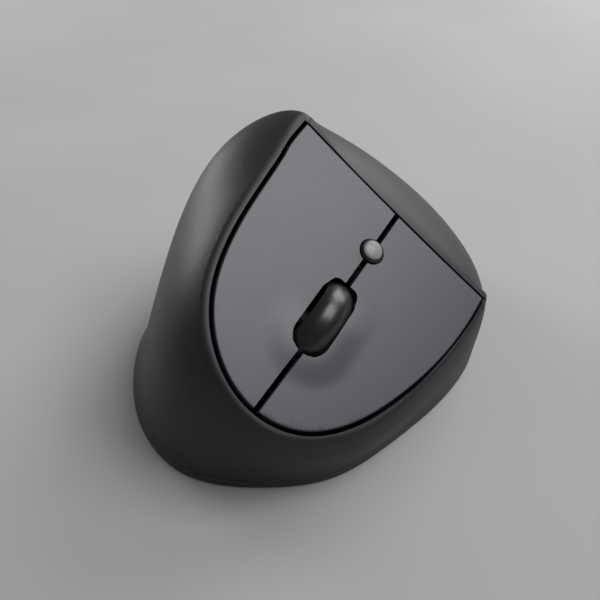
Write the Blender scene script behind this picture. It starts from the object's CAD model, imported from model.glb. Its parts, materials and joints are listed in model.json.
import json
from math import cos, hypot, pi, radians, sin

import bmesh
import bpy
from mathutils import Matrix, Vector


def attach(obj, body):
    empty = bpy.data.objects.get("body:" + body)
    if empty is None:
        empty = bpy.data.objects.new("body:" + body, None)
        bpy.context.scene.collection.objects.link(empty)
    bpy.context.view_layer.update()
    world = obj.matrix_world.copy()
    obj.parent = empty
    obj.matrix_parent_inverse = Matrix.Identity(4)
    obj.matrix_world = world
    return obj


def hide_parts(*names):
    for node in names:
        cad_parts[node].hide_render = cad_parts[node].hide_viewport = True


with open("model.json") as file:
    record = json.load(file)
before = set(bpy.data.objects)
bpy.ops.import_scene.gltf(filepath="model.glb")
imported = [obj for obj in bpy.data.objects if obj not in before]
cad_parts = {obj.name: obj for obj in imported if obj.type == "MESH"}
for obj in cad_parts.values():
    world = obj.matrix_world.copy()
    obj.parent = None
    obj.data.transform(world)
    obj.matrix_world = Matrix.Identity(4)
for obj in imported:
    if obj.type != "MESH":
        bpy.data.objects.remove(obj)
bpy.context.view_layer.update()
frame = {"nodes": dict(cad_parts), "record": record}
nodes = frame["nodes"]
MM = 0.001

# The tilted panel of the keys: u runs up towards the thumb side, v to the front, w outwards
PANEL_ORIGIN = Vector((-18.7, 0.0, 38.3)) * MM
PANEL_U = Vector((0.7976, 0.1592, 0.5818)).normalized()
PANEL_W = Vector((-0.6032, 0.2105, 0.7693)).normalized()
PANEL_V = PANEL_W.cross(PANEL_U).normalized()

# Sizes shared with the solids, in millimetres
WHEEL_PLACE = 25.5
WHEEL_DEPTH = 8.2
WHEEL_RADIUS = 12.0
WHEEL_WIDTH = 6.8
TYRE_THICKNESS = 2.2
SLOT_LENGTH = 19.2
SLOT_WIDTH = 8.6
DPI_PLACE = 4.9
DPI_FLAT = 2.4
DPI_RISE = 0.8
DPI_DOME = 0.35


def on_panel(u, v, w=0.0):
    """Point given in the panel's own millimetres, in metres of the shared frame."""
    return PANEL_ORIGIN + (PANEL_U * u + PANEL_V * v + PANEL_W * w) * MM


def in_panel(point):
    """The panel's own u, v and w of a point, in millimetres."""
    away = (point - PANEL_ORIGIN) / MM
    return away.dot(PANEL_U), away.dot(PANEL_V), away.dot(PANEL_W)


# Materials, with their patterns in cycles per metre

SPECKLE = 900
SMEAR = 45
GLOSS_SPREAD = 0.012
GRAIN_STRENGTH = 0.35
COAT_ROUGH = 0.2
SHEEN_ROUGH = 0.4
TRACK_SCALE = 380
FLOW_SCALE = 250


def new_material(name):
    """Material with its tree, its Principled shader and its object coordinates."""
    material = bpy.data.materials.new(name)
    material.use_nodes = True
    tree = material.node_tree
    shader = tree.nodes["Principled BSDF"]
    coordinates = tree.nodes.new("ShaderNodeTexCoord")
    return material, tree, shader, coordinates


def noise(tree, coordinates, scale, detail=2.0, roughness=0.5):
    """Noise of a scale in cycles per metre."""
    node = tree.nodes.new("ShaderNodeTexNoise")
    node.inputs["Scale"].default_value = scale
    node.inputs["Detail"].default_value = detail
    node.inputs["Roughness"].default_value = roughness
    tree.links.new(coordinates.outputs["Object"], node.inputs["Vector"])
    return node


def spread(tree, source, low, high, from_low=0.3, from_high=0.7):
    """Maps a pattern's value to a range."""
    node = tree.nodes.new("ShaderNodeMapRange")
    node.inputs["From Min"].default_value = from_low
    node.inputs["From Max"].default_value = from_high
    node.inputs["To Min"].default_value = low
    node.inputs["To Max"].default_value = high
    tree.links.new(source, node.inputs["Value"])
    return node.outputs["Result"]


def two_tone(tree, source, dark, light):
    """Colour that runs between two tones with a value."""
    node = tree.nodes.new("ShaderNodeMix")
    node.data_type = "RGBA"
    node.inputs["A"].default_value = (*dark, 1)
    node.inputs["B"].default_value = (*light, 1)
    tree.links.new(source, node.inputs["Factor"])
    return node.outputs["Result"]


def bump(tree, source, strength, distance):
    """Bump from a pattern's value."""
    node = tree.nodes.new("ShaderNodeBump")
    node.inputs["Strength"].default_value = strength
    node.inputs["Distance"].default_value = distance
    tree.links.new(source, node.inputs["Height"])
    return node.outputs["Normal"]


def plastic(name, dark, light, rough, grain, grain_depth, sheen=0.0, coat=0.0, specular=0.5):
    """Moulded or coated plastic: fine speckle, slightly uneven gloss and a fine grain."""
    material, tree, shader, coordinates = new_material(name)
    speckle = noise(tree, coordinates, SPECKLE, 3)
    colour = two_tone(tree, spread(tree, speckle.outputs["Fac"], 0, 1), dark, light)
    tree.links.new(colour, shader.inputs["Base Color"])
    smear = noise(tree, coordinates, SMEAR, 4, 0.6)
    gloss = spread(tree, smear.outputs["Fac"], rough - GLOSS_SPREAD, rough + GLOSS_SPREAD)
    tree.links.new(gloss, shader.inputs["Roughness"])
    fine = noise(tree, coordinates, grain, 2)
    relief = bump(tree, fine.outputs["Fac"], GRAIN_STRENGTH, grain_depth * MM)
    tree.links.new(relief, shader.inputs["Normal"])
    shader.inputs["Specular IOR Level"].default_value = specular
    shader.inputs["Sheen Weight"].default_value = sheen
    shader.inputs["Sheen Roughness"].default_value = SHEEN_ROUGH
    shader.inputs["Coat Weight"].default_value = coat
    shader.inputs["Coat Roughness"].default_value = COAT_ROUGH
    return material


def metal(name, colour, rough, brushed):
    """Plain metal with a cloudy finish of a scale."""
    material, tree, shader, coordinates = new_material(name)
    clouds = noise(tree, coordinates, brushed, 4, 0.7)
    dull = [part * 0.85 for part in colour]
    tone = two_tone(tree, spread(tree, clouds.outputs["Fac"], 0, 1), dull, colour)
    tree.links.new(tone, shader.inputs["Base Color"])
    gloss = spread(tree, clouds.outputs["Fac"], rough - 0.06, rough + 0.08)
    tree.links.new(gloss, shader.inputs["Roughness"])
    shader.inputs["Metallic"].default_value = 1.0
    return material


def circuit_board(name, mask, track, rough):
    """Solder mask with faint tracks."""
    material, tree, shader, coordinates = new_material(name)
    tracks = tree.nodes.new("ShaderNodeTexVoronoi")
    tracks.feature = "DISTANCE_TO_EDGE"
    tracks.inputs["Scale"].default_value = TRACK_SCALE
    tree.links.new(coordinates.outputs["Object"], tracks.inputs["Vector"])
    line = spread(tree, tracks.outputs["Distance"], 1, 0, 0.05, 0.12)
    tree.links.new(two_tone(tree, line, mask, track), shader.inputs["Base Color"])
    shader.inputs["Roughness"].default_value = rough
    return material


def clear_plastic(name, colour, rough):
    """Clear moulded plastic with faint flow marks."""
    material, tree, shader, coordinates = new_material(name)
    flow = noise(tree, coordinates, FLOW_SCALE, 2)
    gloss = spread(tree, flow.outputs["Fac"], rough, rough + 0.1)
    tree.links.new(gloss, shader.inputs["Roughness"])
    shader.inputs["Base Color"].default_value = (*colour, 1)
    shader.inputs["Transmission Weight"].default_value = 0.85
    shader.inputs["IOR"].default_value = 1.49
    return material


SHELL_DARK = (0.0128, 0.0138, 0.017)
SHELL_LIGHT = (0.016, 0.0172, 0.021)
KEY_DARK = (0.0265, 0.0305, 0.042)
KEY_LIGHT = (0.032, 0.0365, 0.05)
UNDER_DARK = (0.018, 0.018, 0.019)
UNDER_LIGHT = (0.026, 0.026, 0.027)
WHEEL_DARK = (0.008, 0.008, 0.009)
WHEEL_LIGHT = (0.013, 0.013, 0.015)
CAP_DARK = (0.21, 0.213, 0.222)
CAP_LIGHT = (0.25, 0.253, 0.262)
PART_DARK = (0.012, 0.012, 0.013)
PART_LIGHT = (0.02, 0.02, 0.021)
GLIDE_DARK = (0.05, 0.05, 0.055)
GLIDE_LIGHT = (0.075, 0.075, 0.08)

soft_touch = plastic("soft_touch", SHELL_DARK, SHELL_LIGHT, 0.5, 2600, 0.012, specular=0.42)
key_touch = plastic("key_touch", KEY_DARK, KEY_LIGHT, 0.47, 2600, 0.01, sheen=0.03, specular=0.8)
under_black = plastic("under_black", UNDER_DARK, UNDER_LIGHT, 0.5, 1500, 0.03)
wheel_gloss = plastic("wheel_gloss", WHEEL_DARK, WHEEL_LIGHT, 0.33, 900, 0.004, coat=0.15)
cap_satin = plastic("cap_satin", CAP_DARK, CAP_LIGHT, 0.36, 2200, 0.004)
part_black = plastic("part_black", PART_DARK, PART_LIGHT, 0.35, 1800, 0.01)
stem_white = plastic("stem_white", (0.6, 0.6, 0.57), (0.7, 0.7, 0.67), 0.4, 1800, 0.005)
ribbon_white = plastic("ribbon_white", (0.62, 0.62, 0.6), (0.72, 0.72, 0.7), 0.45, 1200, 0.005)
glide_grey = plastic("glide_grey", GLIDE_DARK, GLIDE_LIGHT, 0.55, 900, 0.01)
lamp_red = plastic("lamp_red", (0.35, 0.02, 0.02), (0.5, 0.04, 0.035), 0.15, 800, 0.002, coat=0.6)
board_green = circuit_board("board_green", (0.006, 0.03, 0.015), (0.012, 0.06, 0.03), 0.35)
lens_clear = clear_plastic("lens_clear", (0.85, 0.9, 0.9), 0.05)
steel = metal("steel", (0.52, 0.52, 0.53), 0.3, 900)
plated = metal("plated", (0.62, 0.61, 0.58), 0.18, 500)
cell_can = metal("cell_can", (0.35, 0.36, 0.38), 0.35, 700)

# Material of each slot. The small round button is black under its satin disc.
finishes = {
    "soft_black": soft_touch,
    "inner_black": under_black,
    "wheel_black": wheel_gloss,
    "cap_grey": part_black,
    "board_green": board_green,
    "part_black": part_black,
    "stem_white": stem_white,
    "steel": steel,
    "plated": plated,
    "cell_can": cell_can,
    "lens_clear": lens_clear,
    "lamp_red": lamp_red,
    "ribbon_white": ribbon_white,
    "glide_grey": glide_grey,
}
slot_of = {entry["node"]: entry["material_slot"] for entry in frame["record"]["subparts"]}
for name, node in nodes.items():
    node.data.materials.clear()
    node.data.materials.append(finishes[slot_of[name]])

# Pieces made from a node's mesh or in its place

MERGE_WITHIN = 1e-6
SHARP_ANGLE = 32


def finish_mesh(mesh):
    """Smooth shading with sharp edges past an angle, and no normals left from the import."""
    left = mesh.attributes.get("custom_normal")
    if left is not None:
        mesh.attributes.remove(left)
    mesh.shade_smooth()
    mesh.set_sharp_from_angle(angle=radians(SHARP_ANGLE))


def copy_of(node):
    """The mesh of a node, with its points joined, as a new bmesh."""
    shape = bmesh.new()
    shape.from_mesh(nodes[node].data)
    bmesh.ops.remove_doubles(shape, verts=shape.verts, dist=MERGE_WITHIN)
    return shape


def stand_in(name, shape, material, body, *replaced):
    """New object from a bmesh that rides on a body and stands for nodes."""
    mesh = bpy.data.meshes.new(name)
    shape.to_mesh(mesh)
    shape.free()
    finish_mesh(mesh)
    mesh.materials.clear()
    mesh.materials.append(material)
    piece = bpy.data.objects.new(name, mesh)
    bpy.context.scene.collection.objects.link(piece)
    even = piece.modifiers.new("even_normals", "WEIGHTED_NORMAL")
    even.keep_sharp = True
    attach(piece, body)
    if replaced:
        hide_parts(*replaced)
    return piece


# Keys: a soft swelling round the front of the wheel's slot and a wider split, in millimetres

MOUND_HEIGHT = 0.6
MOUND_REACH = 7.0
MOUND_WAY = (-0.45, 0.89)
MOUND_START = 0.8
MOUND_RUN = 1.7
SPLIT_EXTRA = 0.25
SPLIT_REACH = 2.6
TOP_LEVEL = -0.02
CELL = 0.8
FINE_HALF_WIDTH = 13.0
FINE_BEHIND = 12.0
FINE_AHEAD = 19.0


def ease(share):
    """Smooth step from 0 to 1."""
    share = min(1.0, max(0.0, share))
    return share * share * (3 - 2 * share)


def mound(u, v):
    """Height of the keys' swelling at a place on the panel."""
    half_run = (SLOT_LENGTH - SLOT_WIDTH) / 2
    along = v - WHEEL_PLACE
    nearest = min(half_run, max(-half_run, along))
    off = hypot(u, along - nearest) - SLOT_WIDTH / 2
    away = hypot(u, along)
    if off > MOUND_REACH or away == 0:
        return 0.0
    facing = (u * MOUND_WAY[0] + along * MOUND_WAY[1]) / away
    rise = ease((facing + MOUND_START) / MOUND_RUN)
    return MOUND_HEIGHT * rise * (1 - ease(max(0.0, off) / MOUND_REACH))


def top_parts(shape):
    """Faces on a key's top, with their edges and corners."""
    faces = [f for f in shape.faces if all(in_panel(v.co)[2] > TOP_LEVEL for v in f.verts)]
    edges = {edge for face in faces for edge in face.edges}
    corners = {corner for face in faces for corner in face.verts}
    return faces + list(edges) + list(corners)


def key_skin(node, body, side):
    """Key with its top divided finely, a soft swelling at the wheel slot and a wider split."""
    shape = copy_of(node)
    for number in range(int(2 * FINE_HALF_WIDTH / CELL) + 1):
        cut = on_panel(number * CELL - FINE_HALF_WIDTH, 0)
        bmesh.ops.bisect_plane(shape, geom=top_parts(shape), plane_co=cut, plane_no=PANEL_U)
    for number in range(int((FINE_BEHIND + FINE_AHEAD) / CELL) + 1):
        cut = on_panel(0, WHEEL_PLACE - FINE_BEHIND + number * CELL)
        bmesh.ops.bisect_plane(shape, geom=top_parts(shape), plane_co=cut, plane_no=PANEL_V)
    for corner in shape.verts:
        u, v, w = in_panel(corner.co)
        u += side * SPLIT_EXTRA * (1 - ease(abs(u) / SPLIT_REACH))
        corner.co = on_panel(u, v, mound(u, v) if w > TOP_LEVEL else w)
    bmesh.ops.triangulate(shape, faces=[face for face in shape.faces if len(face.verts) > 4])
    stand_in(node + "_skin", shape, key_touch, body, node)


key_skin("index_key", "index_lever", 1)
key_skin("middle_key", "middle_lever", -1)

# Shell: the lip round the panel gets a soft outer edge

LIP_ROUND = 0.8
LIP_SEGMENTS = 5
LIP_LEVEL = 0.03
FLAT_FACING = 0.99
WALL_FACING = 0.96
PANEL_MIDDLE = (0.0, 20.0)


def outer_rim(shape):
    """Edges between the lip's flat face and the outside of the wall."""
    chosen = []
    for edge in shape.edges:
        if len(edge.link_faces) != 2 or any(abs(in_panel(v.co)[2]) > LIP_LEVEL for v in edge.verts):
            continue
        wall, flat = sorted(edge.link_faces, key=lambda face: face.normal.dot(PANEL_W))
        if flat.normal.dot(PANEL_W) < FLAT_FACING or wall.normal.dot(PANEL_W) > WALL_FACING:
            continue
        u, v, _ = in_panel((edge.verts[0].co + edge.verts[1].co) / 2)
        away = PANEL_U * (u - PANEL_MIDDLE[0]) + PANEL_V * (v - PANEL_MIDDLE[1])
        if wall.normal.dot(away) > 0:
            chosen.append(edge)
    return chosen


shell_shape = copy_of("side_shell")
bmesh.ops.bevel(
    shell_shape,
    geom=outer_rim(shell_shape),
    offset=LIP_ROUND * MM,
    offset_type="OFFSET",
    segments=LIP_SEGMENTS,
    profile=0.5,
    affect="EDGES",
    clamp_overlap=False,
)
stand_in("shell_skin", shell_shape, soft_touch, "housing", "side_shell")


def lathe(name, outline, centre, axis, side, material, body, steps, *replaced):
    """Closed outline of (along, radius) pairs in millimetres, turned about an axis."""
    shape = bmesh.new()
    across = axis.cross(side)
    rings = []
    for number in range(steps):
        angle = 2 * pi * number / steps
        way = side * cos(angle) + across * sin(angle)
        rings.append([shape.verts.new(centre + (axis * a + way * r) * MM) for a, r in outline])
    count = len(outline)
    for ring, after in zip(rings, rings[1:] + rings[:1]):
        for number in range(count):
            other = (number + 1) % count
            shape.faces.new((ring[number], after[number], after[other], ring[other]))
    bmesh.ops.recalc_face_normals(shape, faces=shape.faces)
    stand_in(name, shape, material, body, *replaced)


# Tyre of the wheel: a crowned barrel with large round shoulders
EDGE_DROP = 1.5
CROWN_POWER = 2.6
HALF_STEPS = 8
TYRE_FIT = 0.02
TYRE_STEPS = 96
tyre_outline = []
for number in range(2 * HALF_STEPS + 1):
    lie = -1 + number / HALF_STEPS
    drop = EDGE_DROP * abs(lie) ** CROWN_POWER
    tyre_outline.append((lie * WHEEL_WIDTH / 2, WHEEL_RADIUS - drop))
inner_radius = WHEEL_RADIUS - TYRE_THICKNESS + TYRE_FIT
tyre_outline.append((WHEEL_WIDTH / 2, inner_radius))
tyre_outline.append((-WHEEL_WIDTH / 2, inner_radius))
wheel_centre = on_panel(0, WHEEL_PLACE, -WHEEL_DEPTH)
lathe(
    "tyre_barrel",
    tyre_outline,
    wheel_centre,
    PANEL_U,
    PANEL_V,
    wheel_gloss,
    "wheel",
    TYRE_STEPS,
    "wheel_tyre",
)

# Bare satin disc in the dark rim of the small round button
DISC_RADIUS = 2.15
DISC_PROUD = 0.08
DISC_EDGE_PROUD = 0.02
DISC_DEPTH = 0.4
DISC_RINGS = 9
DISC_STEPS = 48
MIDDLE_RADIUS = 0.001


def dome_fall(out_by):
    """How far the button's dome has fallen at a distance from its middle."""
    return DPI_DOME * (out_by / DPI_FLAT) ** 2


disc_outline = [(-DISC_DEPTH, MIDDLE_RADIUS), (DISC_PROUD, MIDDLE_RADIUS)]
for number in range(1, DISC_RINGS):
    out_by = DISC_RADIUS * number / DISC_RINGS
    disc_outline.append((DISC_PROUD - dome_fall(out_by), out_by))
disc_outline.append((DISC_EDGE_PROUD - dome_fall(DISC_RADIUS), DISC_RADIUS))
disc_outline.append((-DISC_DEPTH, DISC_RADIUS))
dome_top = on_panel(0, DPI_PLACE, DPI_RISE + DPI_DOME)
lathe("dpi_disc", disc_outline, dome_top, PANEL_W, PANEL_U, cap_satin, "dpi_cap", DISC_STEPS)

# Floor

FLOOR_REACH = 3.0
FLOOR_DARK = (0.41, 0.41, 0.41)
FLOOR_LIGHT = (0.44, 0.44, 0.44)

floor_material, floor_tree, floor_shader, floor_coordinates = new_material("floor_pale")
paper = noise(floor_tree, floor_coordinates, 8, 2)
paper_tone = spread(floor_tree, paper.outputs["Fac"], 0, 1)
floor_tree.links.new(
    two_tone(floor_tree, paper_tone, FLOOR_DARK, FLOOR_LIGHT), floor_shader.inputs["Base Color"]
)
floor_shader.inputs["Roughness"].default_value = 0.9
floor_mesh = bpy.data.meshes.new("floor")
floor_corners = [(x * FLOOR_REACH, y * FLOOR_REACH, 0) for x, y in ((-1, -1), (1, -1), (1, 1), (-1, 1))]
floor_mesh.from_pydata(floor_corners, [], [(0, 1, 2, 3)])
floor_mesh.materials.append(floor_material)
floor = bpy.data.objects.new("floor", floor_mesh)
bpy.context.scene.collection.objects.link(floor)

# Lights

LIGHT_AIM = Vector((0, 0, 0.03))
WORLD_STRENGTH = 0.15


def soft_box(name, place, size, watts):
    """Square area lamp at a place, facing the object."""
    lamp = bpy.data.lights.new(name, "AREA")
    lamp.shape = "SQUARE"
    lamp.size = size
    lamp.energy = watts
    holder = bpy.data.objects.new(name, lamp)
    holder.location = place
    holder.rotation_euler = (LIGHT_AIM - Vector(place)).to_track_quat("-Z", "Y").to_euler()
    bpy.context.scene.collection.objects.link(holder)


soft_box("back_light", (-0.12, -0.82, 0.50), 0.6, 4.6)
soft_box("sheen_light", (-0.50, -0.24, 0.87), 0.6, 6.5)
soft_box("side_light", (0.88, -0.12, 0.28), 0.4, 3)

world = bpy.data.worlds.new("studio")
world.use_nodes = True
world.node_tree.nodes["Background"].inputs["Color"].default_value = (1, 1, 1, 1)
world.node_tree.nodes["Background"].inputs["Strength"].default_value = WORLD_STRENGTH
bpy.context.scene.world = world

# Camera at the photograph's place, 112 mm above the table
CAMERA_PLACE = (-0.067, 0.107, 0.112)
CAMERA_FORWARD = Vector((0.4318, -0.6536, -0.6215)).normalized()
CAMERA_RIGHT = Vector((-0.8344, -0.5512, 0.0)).normalized()
camera_up = CAMERA_RIGHT.cross(CAMERA_FORWARD)
camera_data = bpy.data.cameras.new("camera")
camera_data.lens = 36
camera_data.sensor_width = 36
camera_data.clip_start = 0.01
camera = bpy.data.objects.new("camera", camera_data)
camera_turn = Matrix((CAMERA_RIGHT, camera_up, -CAMERA_FORWARD)).transposed().to_4x4()
camera.matrix_world = Matrix.Translation(CAMERA_PLACE) @ camera_turn
bpy.context.scene.collection.objects.link(camera)
bpy.context.scene.camera = camera
bpy.context.scene.view_settings.view_transform = "Standard"
